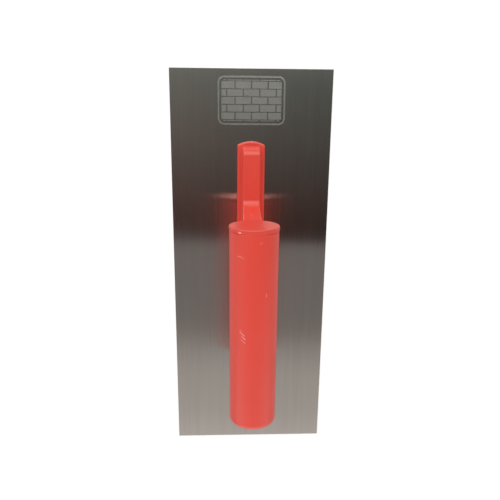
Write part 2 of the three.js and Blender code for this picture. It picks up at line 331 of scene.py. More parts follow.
def arc(centre, radius, start, end, steps):
    """Points of an arc, from one angle to another in degrees."""
    angles = np.radians(np.linspace(start, end, steps + 1))
    return [(centre[0] + radius * math.cos(a), centre[1] + radius * math.sin(a)) for a in angles]


def turned(profile, segments):
    """The points and faces of a solid turned about +Z from (radius, height) pairs.

    The profile starts and ends on the axis, and runs so that its solid lies on its left.
    """
    angles = np.linspace(0, 2 * math.pi, segments, endpoint=False)
    rings = [[(r * math.cos(a), r * math.sin(a), z) for a in angles] for r, z in profile[1:-1]]
    vertices = [(0, 0, profile[0][1])] + [p for ring in rings for p in ring] + [(0, 0, profile[-1][1])]
    faces = []
    for i in range(segments):
        j = (i + 1) % segments
        faces.append((0, 1 + j, 1 + i))
        for ring in range(len(rings) - 1):
            low, high = 1 + ring * segments, 1 + (ring + 1) * segments
            faces.append((low + i, low + j, high + j, high + i))
        last = 1 + (len(rings) - 1) * segments
        faces.append((last + i, last + j, len(vertices) - 1))
    return np.array(vertices), faces


# ---- the handle's solid, as a distance from its skin ---------------------------------------


def rounded_meet(a, b, radius):
    """The common part of two solids, with the edge where they meet rounded."""
    corner = np.hypot(np.maximum(a + radius, 0), np.maximum(b + radius, 0))
    return np.minimum(np.maximum(a, b), -radius) + corner


def filleted_join(a, b, radius):
    """Two solids as one, with a fillet in the corner between them."""
    corner = np.hypot(np.maximum(radius - a, 0), np.maximum(radius - b, 0))
    return np.maximum(np.minimum(a, b), radius) - corner


def foot_distance(x, y, z, s):
    """The flat strip on the blade, with its round ends."""
    end_centre = HANDLE_HIGH.y - s.foot_end_radius
    ends = np.hypot(x, np.maximum(np.abs(y) - end_centre, 0)) - s.foot_end_radius
    outline = rounded_meet(ends, np.abs(x) - s.foot_width / 2, s.foot_corner)
    return rounded_meet(outline, z - s.foot_top, s.foot_edge)


def post_distance(x, y, z, s):
    """The rib and the neck: one outline seen from the side, as wide as it is at each height."""
    nose_squash = s.nose_length / s.nose_rise
    rib = rounded_meet(np.abs(y) - s.rib_end, (z - s.rib_top) * nose_squash, s.nose_length)
    height = z - s.rib_top
    leaning = s.neck_front - s.neck_lean * height
    softness = 0.6 * MM
    front = (leaning + s.grip_front + np.hypot(leaning - s.grip_front, softness)) / 2
    upright = 1 / math.hypot(1, s.neck_lean)
    neck = np.maximum(y - front, leaning - s.neck_depth - y) * upright
    neck = np.maximum(neck, z - GRIP_HEIGHT)
    side = filleted_join(rib, neck, s.neck_bend)
    just_inside_grip = 1.1
    share = np.clip(height / (GRIP_HEIGHT - GRIP_RADIUS - s.rib_top), 0, just_inside_grip)
    half_width = s.rib_width / 2 + s.neck_flare * share**3
    return rounded_meet(side, np.abs(x) - half_width, s.edge)


def grip_distance(x, y, z, s, cap):
    """The round grip, and its bore with the groove for the cap's bead, each as a distance."""
    from_axis = np.hypot(x, z - GRIP_HEIGHT)
    share = (s.grip_front - y) / (s.grip_front - s.grip_rear)
    radius = GRIP_RADIUS - s.grip_taper * share
    rear = s.grip_rear - s.rear_dome * (1 - (from_axis / GRIP_RADIUS) ** 2)
    outside = rounded_meet(from_axis - radius, rear - y, s.rear_edge)
    outside = rounded_meet(outside, y - s.grip_front, s.front_edge)
    from_bead = (y - CAP_LOW.y - cap.bead_place) / (1 * MM)
    groove = cap.groove_depth * np.exp(-(from_bead**2))
    inside = from_axis - (radius - s.grip_wall + groove)
    bore = rounded_meet(inside, s.grip_rear + s.rear_wall - y, s.bore_corner)
    return outside, bore


def screw_room_distance(x, y, z, blade, screws):
    """The rooms for the screws' shanks and for the dimples in the blade under them."""
    along = y - screws.pitch * (np.floor(y / screws.pitch) + 0.5)
    from_axis = np.hypot(x, along)
    past_tip = 0.5 * MM
    shank = np.maximum(from_axis - blade.hole_radius, z - SCREW_HIGH.z - past_tip)
    dimple = (from_axis + z - dimple_radius(blade) - blade.seat_gap) / math.sqrt(2)
    return np.minimum(shank, dimple)


def handle_distance(points, sizes):
    """How far each point lies outside the handle's skin. Inside, it is negative."""
    x, y, z = points
    s = sizes.handle
    post = post_distance(x, y, z, s)
    grip, bore = grip_distance(x, y, z, s, sizes.cap)
    body = filleted_join(post, grip, s.grip_blend)
    below_grip = 5 * MM
    before_grip = np.minimum(y - s.grip_front, z - (GRIP_HEIGHT - GRIP_RADIUS) + below_grip)
    body = np.maximum(body, before_grip)
    body = np.maximum(body, -bore)
    body = filleted_join(body, foot_distance(x, y, z, s), s.corner)
    body = rounded_meet(body, sizes.blade.thickness - z, s.foot_base)
    return np.maximum(body, -screw_room_distance(x, y, z, sizes.blade, sizes.screws))


def steps_between(places, fine, coarse):
    """Grid places along one axis: fine steps inside each (low, high) pair, coarse ones between."""
    grid = []
    for (low, high), (after, _) in zip(places, places[1:] + [(None, None)]):
        grid.extend(np.arange(low, high, fine))
        if after is not None:
            grid.extend(np.linspace(high, after, max(2, round((after - high) / coarse)), endpoint=False))
    return np.array(grid)


def skin_of(distance, axes):
    """Vertices and faces of the skin where distance is zero: a vertex in each cell that it crosses."""
    grid = np.meshgrid(*axes, indexing="ij")
    depth = distance(grid)
    inside = depth < 0
    cells = np.full([n - 1 for n in depth.shape], -1)
    total = np.zeros((*cells.shape, 3))
    crossings = np.zeros(cells.shape)
    edges = []
    for axis in range(3):
        low = [slice(None)] * 3
        high = [slice(None)] * 3
        low[axis], high[axis] = slice(None, -1), slice(1, None)
        low, high = tuple(low), tuple(high)
        index = np.argwhere(inside[low] != inside[high])
        others = [a for a in range(3) if a != axis]
        index = index[(index[:, others] > 0).all(1)]
        index = index[(index[:, others] < np.array(cells.shape)[others]).all(1)]
        here = tuple(index.T)
        share = depth[low][here] / (depth[low][here] - depth[high][here])
        point = np.stack([g[low][here] for g in grid], 1)
        point[:, axis] += share * (grid[axis][high][here] - grid[axis][low][here])
        first, second = others if axis != 1 else others[::-1]
        corners = []
        for back_first, back_second in ((1, 1), (0, 1), (0, 0), (1, 0)):
            cell = index.copy()
            cell[:, first] -= back_first
            cell[:, second] -= back_second
            np.add.at(total, tuple(cell.T), point)
            np.add.at(crossings, tuple(cell.T), 1)
            corners.append(cell)
        edges.append((corners, inside[low][here]))
    used = crossings > 0
    cells[used] = np.arange(used.sum())
    faces = []
    for corners, outwards in edges:
        quad = np.stack([cells[tuple(cell.T)] for cell in corners], 1)
        quad[~outwards] = quad[~outwards][:, ::-1]
        faces.append(quad)
    return total[used] / crossings[used][:, None], np.concatenate(faces)


def slope_of(distance, points):
    """The direction in which distance grows fastest at each point, and how fast."""
    nudge = 0.01 * MM
    columns = []
    for axis in range(3):
        step = np.zeros((3, 1))
        step[axis] = nudge
        columns.append((distance(points + step) - distance(points - step)) / (2 * nudge))
    return np.stack(columns)


def pull_to_skin(distance, vertices, reach, passes=6, least_slope=0.1):
    """Moves the vertices onto the skin, and gives the skin's direction there."""
    points = vertices.T.copy()
    for _ in range(passes):
        slope = slope_of(distance, points)
        move = -distance(points) * slope / np.maximum((slope**2).sum(0), least_slope)
        points += np.clip(move, -reach, reach)
    normals = slope_of(distance, points).T
    return points.T, normals / np.maximum(np.linalg.norm(normals, axis=1, keepdims=True), 1e-6)


# ---- node trees ----------------------------------------------------------------------------


class Nodes:
    """Adds nodes to a tree and links them, so that a pattern reads like a formula."""

    def __init__(self, tree):
        self.tree = tree

    def put(self, socket, value):
        """Links a socket to another, or sets its value."""
        if isinstance(value, bpy.types.NodeSocket):
            self.tree.links.new(value, socket)
        elif value is not None:
            socket.default_value = value

    def add(self, kind, *inputs, named=None, **settings):
        """A new node, with its inputs in order or by name, and its settings."""
        node = self.tree.nodes.new(kind)
        for key, value in settings.items():
            setattr(node, key, value)
        for socket, value in zip(node.inputs, inputs):
            self.put(socket, value)
        for key, value in (named or {}).items():
            self.put(node.inputs[key], value)
        return node

    def math(self, operation, *values):
        return self.add("ShaderNodeMath", *values, operation=operation).outputs[0]

    def split(self, vector):
        return self.add("ShaderNodeSeparateXYZ", vector).outputs

    def noise(self, vector, scale, detail=2.0, roughness=0.5):
        settings = {"Vector": vector, "Scale": scale, "Detail": detail, "Roughness": roughness}
        return self.add("ShaderNodeTexNoise", named=settings).outputs["Fac"]

    def scaled(self, vector, parts):
        return self.add("ShaderNodeVectorMath", vector, parts, operation="MULTIPLY").outputs[0]

    def mix(self, first, first_part, second, second_part):
        first = self.math("MULTIPLY", first, first_part)
        return self.math("ADD", first, self.math("MULTIPLY", second, second_part))

    def spread(self, value, low, high, to_low=0.0, to_high=1.0):
        return self.add("ShaderNodeMapRange", value, low, high, to_low, to_high).outputs[0]

    def blend(self, factor, first, second):
        node = self.add("ShaderNodeMix", data_type="RGBA")
        for name, value in (("Factor_Float", factor), ("A_Color", first), ("B_Color", second)):
            socket = next(s for s in node.inputs if s.identifier == name)
            self.put(socket, value)
        return next(s for s in node.outputs if s.identifier == "Result_Color")


def rgba(value):
    """The colour, opaque."""
    return (*value, 1.0)


def new_material(name):
    """A material, its nodes, its shader, and the place on the piece in metres."""
    material = bpy.data.materials.new(name)
    material.use_nodes = True
    nodes = Nodes(material.node_tree)
    shader = material.node_tree.nodes["Principled BSDF"]
    coordinates = nodes.add("ShaderNodeTexCoord").outputs["Object"]
    return material, nodes, shader, coordinates


def scratch(nodes, place, start, end):
    """A mask of one scratch, seen from above, from start to end in metres."""
    run = Vector(end) - Vector(start)
    middle = (Vector(start) + Vector(end)) / 2
    turn = (0, 0, math.atan2(run.y, run.x))
    local = nodes.add("ShaderNodeMapping", place, (*middle, 0), turn, vector_type="TEXTURE").outputs[0]
    along, across, _ = nodes.split(local)
    past_end = nodes.math("SUBTRACT", nodes.math("ABSOLUTE", along), run.length / 2)
    past_end = nodes.math("MAXIMUM", past_end, 0.0)
    squares = [nodes.math("MULTIPLY", value, value) for value in (past_end, across)]
    away = nodes.math("SQRT", nodes.math("ADD", *squares))
    core = SCRATCH_WIDTH * 0.3
    return nodes.spread(away, core, SCRATCH_WIDTH, 1.0, 0.0)


def pale_spot(nodes, place, centre, size):
    """A mask of one small pale spot, used for the nicks and for the painted highlight on the cap's rim: an
    egg of this size along each axis.
    """
    local = nodes.add("ShaderNodeMapping", place, centre, (0, 0, 0), size, vector_type="TEXTURE").outputs[0]
    away = nodes.add("ShaderNodeVectorMath", local, operation="LENGTH").outputs["Value"]
    return nodes.spread(away, 0.4, 1.0, 1.0, 0.0)


def knocks_and_glint(nodes, place, roughly):
    """A mask of the scratches on top of the grip, of the nicks in the neck and the foot, and of the painted
    highlight on the cap's rim.
    """
    height = nodes.split(place)["Z"]
    on_top = nodes.math("GREATER_THAN", height, GRIP_HEIGHT + GRIP_RADIUS / 2)
    marks = []
    for start, end, strength in SCRATCHES:
        mask = scratch(nodes, place, Vector(start) * MM, Vector(end) * MM)
        marks.append((nodes.math("MULTIPLY", mask, on_top), strength))
    for middle, size, strength in NICKS_AND_GLINT:
        marks.append((pale_spot(nodes, place, Vector(middle) * MM, Vector(size) * MM), strength))
    total = 0.0
    for mask, strength in marks:
        total = nodes.math("MAXIMUM", total, nodes.math("MULTIPLY", mask, strength))
    return nodes.math("MULTIPLY", total, roughly)


def plastic_material(finish):
    """Injection-moulded red plastic: faint colour drift, soft gloss, a parting line with a painted
    highlight along it, scratches, and a painted highlight on the cap's rim.
    """
    material, nodes, shader, place = new_material("moulded_red_plastic")
    drift = nodes.noise(place, scale=45.0, detail=3.0)
    grain = nodes.noise(place, scale=900.0, detail=4.0, roughness=0.6)
    wear = nodes.noise(nodes.scaled(place, (1.0, 0.25, 1.0)), scale=260.0, detail=5.0, roughness=0.7)
    base = Vector(finish.plastic)
    paler = Vector((base.x * 1.03, base.y * 1.18, base.z * 1.2))
    red = nodes.blend(drift, rgba(base * 0.95), rgba(paler))
    # Scratches, nicks and the painted highlight on the cap's rim, all in the pale scuff colour.
    scuffs_and_glints = knocks_and_glint(nodes, place, nodes.spread(wear, 0.35, 0.55, 0.6, 1.0))
    hairs = nodes.noise(nodes.scaled(place, (1.0, 0.08, 1.0)), scale=1400.0)
    hairs = nodes.spread(hairs, 0.72, 0.8, 0.0, 0.35)
    rubbed = nodes.spread(nodes.noise(place, scale=70.0), 0.5, 0.65)
    scuffs_and_glints = nodes.math("MAXIMUM", scuffs_and_glints, nodes.math("MULTIPLY", hairs, rubbed))
    across, _, up = nodes.split(place)
    parting = nodes.spread(nodes.math("ABSOLUTE", across), 0.10 * MM, 0.28 * MM, 1.0, 0.0)
    above_foot = 6 * MM
    parting = nodes.math("MULTIPLY", parting, nodes.math("LESS_THAN", up, above_foot))
    # The faint pale line along the parting line is a painted highlight on its ridge; the ridge itself comes
    # from the bump below.
    shown = nodes.math("MAXIMUM", scuffs_and_glints, nodes.math("MULTIPLY", parting, 0.04))
    nodes.put(shader.inputs["Base Color"], nodes.blend(shown, red, rgba(finish.scuff_and_glint)))
    gloss = nodes.spread(wear, 0.3, 0.7, 0.30, 0.38)
    nodes.put(shader.inputs["Roughness"], nodes.math("ADD", gloss, nodes.math("MULTIPLY", scuffs_and_glints, 0.2)))
    height = nodes.math("ADD", nodes.math("MULTIPLY", grain, 0.15), nodes.math("MULTIPLY", parting, 0.12))
    height = nodes.math("SUBTRACT", height, nodes.math("MULTIPLY", scuffs_and_glints, 0.6))
    bump = nodes.add("ShaderNodeBump", named={"Strength": 0.35, "Distance": 0.05 * MM, "Height": height})
    nodes.put(shader.inputs["Normal"], bump.outputs[0])
    shader.inputs["IOR"].default_value = 1.58
    return material


def inside_panel(nodes, across, up, half_length, half_height, corner):
    """How far a point lies inside the edge of a rectangle with round corners. Outside, it is negative."""
    sides = []
    for value, half in ((across, half_length), (up, half_height)):
        sides.append(nodes.math("SUBTRACT", nodes.math("ABSOLUTE", value), half - corner))
    held = [nodes.math("MAXIMUM", side, 0.0) for side in sides]
    squares = [nodes.math("MULTIPLY", side, side) for side in held]
    outside = nodes.math("SQRT", nodes.math("ADD", *squares))
    inside = nodes.math("MINIMUM", nodes.math("MAXIMUM", *sides), 0.0)
    return nodes.math("SUBTRACT", corner, nodes.math("ADD", outside, inside))


def bond_mark(nodes, place, blade):
    """A mask of the etched mark: a panel of bricks in running bond, inside a thin frame."""
    course = blade.mark_course
    brick = course * 2.2
    joint = course * 0.14
    line = course * 0.2
    corner = course * 0.9
    clear = course * 0.5
    margin = course * 0.65
    half_length = blade.mark_length / 2
    half_height = course * blade.mark_rows / 2 + margin
    across, forwards, _ = nodes.split(place)
    up = nodes.math("SUBTRACT", forwards, BLADE_HIGH.y - blade.mark_place)
    inside = inside_panel(nodes, across, up, half_length, half_height, corner)
    in_panel = nodes.math("GREATER_THAN", inside, 0.0)
    frame_line = nodes.math("MULTIPLY", in_panel, nodes.math("LESS_THAN", inside, line))
    raised = nodes.math("ADD", up, course * blade.mark_rows / 2)
    row = nodes.math("FLOOR", nodes.math("DIVIDE", raised, course))
    shift = nodes.math("MULTIPLY", nodes.math("FLOORED_MODULO", row, 2.0), brick / 2)
    along = nodes.math("FLOORED_MODULO", nodes.math("ADD", across, shift), brick)
    from_joint = nodes.math("MINIMUM", along, nodes.math("SUBTRACT", brick, along))
    level = nodes.math("FLOORED_MODULO", raised, course)
    from_bed = nodes.math("MINIMUM", level, nodes.math("SUBTRACT", course, level))
    bricks = nodes.math("GREATER_THAN", nodes.math("MINIMUM", from_joint, from_bed), joint / 2)
    bricks = nodes.math("MULTIPLY", bricks, nodes.math("GREATER_THAN", inside, clear))
    return nodes.math("MAXIMUM", bricks, frame_line)


def steel_material(finish, blade):
    """Brushed steel: grain along the blade, so that reflections spread across it."""
    material, nodes, shader, place = new_material("brushed_blade_steel")
    fine = nodes.noise(nodes.scaled(place, (1.0, 0.004, 1.0)), scale=5200.0, detail=3.0, roughness=0.6)
    broad = nodes.noise(nodes.scaled(place, (1.0, 0.02, 1.0)), scale=420.0, detail=3.0, roughness=0.55)
    bands = nodes.noise(nodes.scaled(place, (1.0, 0.05, 1.0)), scale=130.0)
    cloud = nodes.noise(nodes.scaled(place, (1.0, 0.4, 1.0)), scale=22.0, detail=3.0)
    streaks = nodes.mix(fine, 0.75, broad, 0.25)
    slow = nodes.mix(cloud, 0.3, bands, 0.7)
    tone = nodes.mix(streaks, 0.6, slow, 0.4)
    base = Vector(finish.steel)
    sheet = nodes.blend(nodes.spread(tone, 0.3, 0.7), rgba(base * 0.92), rgba(base * 1.07))
    on_top = nodes.math("GREATER_THAN", nodes.split(place)["Z"], blade.thickness / 2)
    mark = nodes.math("MULTIPLY", bond_mark(nodes, place, blade), on_top)
    chips = nodes.spread(nodes.noise(place, scale=1500.0), 0.30, 0.36)
    mark = nodes.math("MULTIPLY", mark, chips)
    cells = nodes.add("ShaderNodeTexVoronoi", named={"Vector": place, "Scale": 42.0, "Randomness": 1.0})
    speck_radius, clean_share = 0.015, 0.72
    dust = nodes.math("LESS_THAN", cells.outputs["Distance"], speck_radius)
    chosen = nodes.add("ShaderNodeSeparateColor", cells.outputs["Color"]).outputs[0]
    dust = nodes.math("MULTIPLY", dust, nodes.math("GREATER_THAN", chosen, clean_share))
    coloured = nodes.blend(nodes.math("MULTIPLY", mark, 0.9), sheet, rgba(finish.etching))
    coloured = nodes.blend(nodes.math("MULTIPLY", dust, 0.5), coloured, rgba(finish.dust))
    nodes.put(shader.inputs["Base Color"], coloured)
    shader.inputs["Metallic"].default_value = 1.0
    rough = nodes.spread(tone, 0.3, 0.7, 0.125, 0.14)
    rough = nodes.math("ADD", rough, nodes.math("MULTIPLY", mark, 0.6))
    nodes.put(shader.inputs["Roughness"], rough)
    shader.inputs["Anisotropic"].default_value = 1.0
    tangent = nodes.add("ShaderNodeTangent", direction_type="UV_MAP", uv_map="grain")
    nodes.put(shader.inputs["Tangent"], tangent.outputs[0])
    height = nodes.math("SUBTRACT", streaks, nodes.math("MULTIPLY", mark, 0.15))
    bump = nodes.add("ShaderNodeBump", named={"Strength": 1.0, "Distance": 0.06 * MM, "Height": height})
    nodes.put(shader.inputs["Normal"], bump.outputs[0])
    return material


def zinc_material(finish):
    """Bright zinc plate: fine turning marks and a faint yellowing."""
    material, nodes, shader, place = new_material("zinc_plated_steel")
    cloud = nodes.noise(place, scale=320.0, detail=3.0)
    turning = nodes.noise(nodes.scaled(place, (1.0, 1.0, 9.0)), scale=2600.0)
    base = Vector(finish.zinc)
    warm = Vector((base.x * 1.04, base.y, base.z * 0.9))
    nodes.put(shader.inputs["Base Color"], nodes.blend(cloud, rgba(base * 0.92), rgba(warm)))
    nodes.put(shader.inputs["Roughness"], nodes.spread(turning, 0.3, 0.7, 0.24, 0.4))
    shader.inputs["Metallic"].default_value = 1.0
    bump = nodes.add("ShaderNodeBump", named={"Strength": 0.1, "Distance": 0.02 * MM, "Height": turning})
    nodes.put(shader.inputs["Normal"], bump.outputs[0])
    return material


def floor_material(finish):
    """Matt pale floor, lit a little more where it is looked at than where it lights the trowel."""
    material, nodes, shader, place = new_material("pale_floor")
    cloud = nodes.noise(place, scale=3.0)
    base = Vector(finish.floor)
    nodes.put(shader.inputs["Base Color"], nodes.blend(cloud, rgba(base * 0.99), rgba(base)))
    shader.inputs["Roughness"].default_value = 0.9
    shader.inputs["Specular IOR Level"].default_value = 0.1
    shader.inputs["Emission Color"].default_value = (1.0, 1.0, 1.0, 1.0)
    looked_at = nodes.add("ShaderNodeLightPath").outputs["Is Camera Ray"]
    nodes.put(shader.inputs["Emission Strength"], nodes.math("MULTIPLY", looked_at, finish.floor_glow))
    return material


# ---- geometry nodes ------------------------------------------------------------------------


def seat_radius(blade):
    """Radius at the working face of the cone that a screw's head sits in."""
    return HEAD_RADIUS + SCREW_LOW.z + HEAD_RIM + blade.seat_gap


def dimple_radius(blade):
    """Radius at the working face of the cone round that seat, as thick as the sheet."""
    return seat_radius(blade) + blade.thickness * math.sqrt(2)


def new_tree(name, inputs):
    """A geometry node tree with its group input and output, and its named inputs."""
    tree = bpy.data.node_groups.new(name, "GeometryNodeTree")
    tree.interface.new_socket("Geometry", in_out="INPUT", socket_type="NodeSocketGeometry")
    for label, kind in inputs.items():
        tree.interface.new_socket(label, in_out="INPUT", socket_type=f"NodeSocket{kind}")
    tree.interface.new_socket("Geometry", in_out="OUTPUT", socket_type="NodeSocketGeometry")
    nodes = Nodes(tree)
    source = nodes.add("NodeGroupInput")
    return tree, nodes, source.outputs, nodes.add("NodeGroupOutput")


def finish_tree(nodes, geometry, material, out):
    """Ends a tree with real faces in their material."""
    real = nodes.add("GeometryNodeRealizeInstances", geometry).outputs[0]
    painted = nodes.add("GeometryNodeSetMaterial", real, named={"Material": material})
    nodes.put(out.inputs[0], painted.outputs[0])


def use_tree(piece, tree, values):
    """Adds the tree to the piece as a modifier, with its inputs set by their identifiers."""
    modifier = piece.modifiers.new(tree.name, "NODES")
    modifier.node_group = tree
    for item in tree.interface.items_tree:
        if item.item_type == "SOCKET" and item.in_out == "INPUT" and item.name in values:
            modifier[item.identifier] = values[item.name]


def row_of_points(nodes, count, pitch):
    """Points along Y, centred on the origin."""
    row = nodes.math("MULTIPLY", nodes.math("SUBTRACT", count, 1.0), pitch)
    start = nodes.add("ShaderNodeCombineXYZ", 0.0, nodes.math("MULTIPLY", row, -0.5), 0.0).outputs[0]
    step = nodes.add("ShaderNodeCombineXYZ", 0.0, pitch, 0.0).outputs[0]
    line = nodes.add("GeometryNodeMeshLine", mode="OFFSET", count_mode="TOTAL",
                     named={"Count": count, "Start Location": start, "Offset": step})
    return line.outputs[0]


def screw_row_tree():
    """Copies of one screw along the blade's centre line, each turned a little further."""
    kinds = {"Count": "Int", "Spacing": "Float", "Turn": "Float", "Material": "Material"}
    tree, nodes, given, out = new_tree("Row of screws", kinds)
    points = row_of_points(nodes, given["Count"], given["Spacing"])
    index = nodes.add("GeometryNodeInputIndex").outputs[0]
    first_turn = 0.6
    turn = nodes.math("MULTIPLY", nodes.math("ADD", index, first_turn), given["Turn"])
    spin = nodes.add("ShaderNodeCombineXYZ", 0.0, 0.0, turn).outputs[0]
    copies = nodes.add("GeometryNodeInstanceOnPoints",
                       named={"Points": points, "Instance": given["Geometry"], "Rotation": spin})
    finish_tree(nodes, copies.outputs[0], given["Material"], out)
    return tree


def screw_seat_tree():
    """A sheet with a raised dimple, a countersink and a hole for each screw along its middle."""
    kinds = {"Count": "Int", "Spacing": "Float", "Seat radius": "Float", "Dimple radius": "Float",
             "Hole radius": "Float", "Collar": "Float", "Material": "Material"}
    tree, nodes, given, out = new_tree("Screw seats", kinds)
    points = row_of_points(nodes, given["Count"], given["Spacing"])
    below_face = 1.0 * MM
    hole_depth = 12 * MM
    segments = 48

    def cones(face_radius, top_radius, below):
        """A cone at 45 degrees for each screw, from just below the working face up to its top."""
        depth = nodes.math("SUBTRACT", nodes.math("ADD", face_radius, below), top_radius)
        cone = nodes.add("GeometryNodeMeshCone", fill_type="NGON", named={
            "Vertices": segments, "Radius Top": top_radius,
            "Radius Bottom": nodes.math("ADD", face_radius, below), "Depth": depth})
        drop = nodes.add("ShaderNodeCombineXYZ", 0.0, 0.0, -below).outputs[0]
        placed = nodes.add("GeometryNodeTransform", cone.outputs["Mesh"], named={"Translation": drop})
        made = nodes.add("GeometryNodeInstanceOnPoints",
                         named={"Points": points, "Instance": placed.outputs[0]})
        return nodes.add("GeometryNodeRealizeInstances", made.outputs[0]).outputs[0]

    def boolean(operation, first, second):
        node = nodes.add("GeometryNodeMeshBoolean", operation=operation, solver="EXACT")
        if operation == "DIFFERENCE":
            nodes.put(node.inputs["Mesh 1"], first)
        else:
            nodes.put(node.inputs["Mesh 2"], first)
        nodes.tree.links.new(second, node.inputs["Mesh 2"])
        return node.outputs[0]

    collar = nodes.math("ADD", given["Hole radius"], given["Collar"])
    raised = boolean("UNION", given["Geometry"], cones(given["Dimple radius"], collar, 0.0))
    sunk = boolean("DIFFERENCE", raised, cones(given["Seat radius"], given["Hole radius"], below_face))
    post = nodes.add("GeometryNodeMeshCylinder", fill_type="NGON",
                     named={"Vertices": segments, "Radius": given["Hole radius"], "Depth": hole_depth})
    holes = nodes.add("GeometryNodeInstanceOnPoints",
                      named={"Points": points, "Instance": post.outputs["Mesh"]})
    holes = nodes.add("GeometryNodeRealizeInstances", holes.outputs[0]).outputs[0]
    finish_tree(nodes, boolean("DIFFERENCE", sunk, holes), given["Material"], out)
    return tree


# ---- operators -----------------------------------------------------------------------------


class TROWEL_OT_blade(bpy.types.Operator):
    """Make the brushed steel blade with its screw seats and its etched mark"""

    bl_idname = "trowel.make_blade"
    bl_label = "Blade"

    def execute(self, context):
        scene = context.scene
        blade, screws = scene.trowel_blade, scene.trowel_screws
        x, y = BLADE_HIGH.x, BLADE_HIGH.y
        low, high = BLADE_LOW.z, BLADE_LOW.z + blade.thickness
        corners = [(i, j, k) for k in (low, high) for i, j in ((x, -y), (x, y), (-x, y), (-x, -y))]
        sides = [(i, (i + 1) % 4, (i + 1) % 4 + 4, i + 4) for i in range(4)]
        piece = new_piece("steel_blade", corners, [(3, 2, 1, 0), (4, 5, 6, 7), *sides])
        material = steel_material(scene.trowel_finish, blade)
        use_tree(piece, screw_seat_tree(), {
            "Count": screws.count,
            "Spacing": screws.pitch,
            "Seat radius": seat_radius(blade),
            "Dimple radius": dimple_radius(blade),
            "Hole radius": blade.hole_radius,
            "Collar": blade.collar,
            "Material": material,
        })
        bevel = piece.modifiers.new("Broken edges", "BEVEL")
        bevel.width, bevel.segments, bevel.limit_method = blade.edge, 2, "ANGLE"
        bevel.angle_limit = math.radians(50)
        settle(piece)
        grain = piece.data.uv_layers.new(name="grain")
        for loop in piece.data.loops:
            place = piece.data.vertices[loop.vertex_index].co / (2 * BLADE_HIGH.y)
            grain.data[loop.index].uv = (place.x + 0.5, place.y + 0.5)
        sharpen(piece, degrees=20)
        join_frame(piece, material, "blade_steel", "blade")
        return {"FINISHED"}


class TROWEL_OT_handle(bpy.types.Operator):
    """Make the moulded handle: foot, rib, neck and hollow grip in one skin"""

    bl_idname = "trowel.make_handle"
    bl_label = "Handle"

    def execute(self, context):
        scene = context.scene
        s = scene.trowel_handle
        sizes = SimpleNamespace(
            handle=s, blade=scene.trowel_blade, cap=scene.trowel_cap, screws=scene.trowel_screws
        )
        spare = 2.2 * s.cell
        coarse = 1.6 * s.cell
        neck_rear = s.neck_front - s.neck_depth
        rear_fine = (HANDLE_LOW.y - spare, s.grip_rear + 7 * MM)
        neck_fine = (neck_rear - 16 * MM, s.neck_front + 6 * MM)
        toe_fine = (HANDLE_HIGH.y - 12 * MM, HANDLE_HIGH.y + spare)
        axes = [
            np.arange(-GRIP_RADIUS - spare, GRIP_RADIUS + spare, s.cell),
            steps_between([rear_fine, neck_fine, toe_fine], s.cell, coarse),
            np.arange(HANDLE_LOW.z - spare, HANDLE_HIGH.z + spare, s.cell),
        ]

        def distance(points):
            return handle_distance(points, sizes)

        vertices, faces = skin_of(distance, axes)
        vertices, normals = pull_to_skin(distance, vertices, s.cell / 2)
        piece = new_piece("moulded_handle", vertices, faces)
        piece.data.normals_split_custom_set_from_vertices([tuple(n) for n in normals])
        material = plastic_material(scene.trowel_finish)
        join_frame(piece, material, "handle_plastic", "handle_body")
        return {"FINISHED"}


class TROWEL_OT_cap(bpy.types.Operator):
    """Make the cap that closes the front of the grip"""

    bl_idname = "trowel.make_cap"
    bl_label = "Front cap"

    def execute(self, context):
        scene = context.scene
        s, handle = scene.trowel_cap, scene.trowel_handle
        radius = (CAP_HIGH.x - CAP_LOW.x) / 2
        front, back, end = CAP_HIGH.y, handle.grip_front, CAP_LOW.y
        behind_face = front - s.face_wall
        skirt = GRIP_RADIUS - handle.grip_wall - s.skirt_gap
        inner = skirt - s.skirt_wall
        inner_flat = inner - s.inside_corner
        lead_in = 0.8 * MM
        bead, top = end + s.bead_place, skirt + s.bead_rise
        rings = (0, 0.3, 0.6, 0.85, 0.97)
        face = [(share * (radius - s.edge), front - s.dish * (1 - share**2)) for share in rings]
        profile = [
            (0, behind_face),
            (inner_flat, behind_face),
            *arc((inner_flat, behind_face - s.inside_corner), s.inside_corner, 90, 0, 5)[1:],
            (inner, end),
            (skirt - 0.75 * lead_in, end),
            (skirt, end + lead_in),
            (skirt, bead - s.bead_half),
            (top, bead - s.bead_rise),
            (top, bead + s.bead_rise),
            (skirt, bead + s.bead_half),
            (skirt, back),
            *arc((radius - s.back_edge, back + s.back_edge), s.back_edge, -90, 0, 5),
            *arc((radius - s.edge, front - s.edge), s.edge, 0, 90, 7),
            *reversed(face),
        ]
        vertices, faces = turned(profile, segments=160)
        turn = Matrix.Translation((0, 0, GRIP_HEIGHT)) @ Matrix.Rotation(math.radians(-90), 4, "X")
        piece = new_piece("front_cap", vertices, faces)
        piece.data.transform(turn)
        sharpen(piece, degrees=40)
        material = bpy.data.materials["moulded_red_plastic"]
        join_frame(piece, material, "handle_plastic", "grip_front_cap")
        return {"FINISHED"}


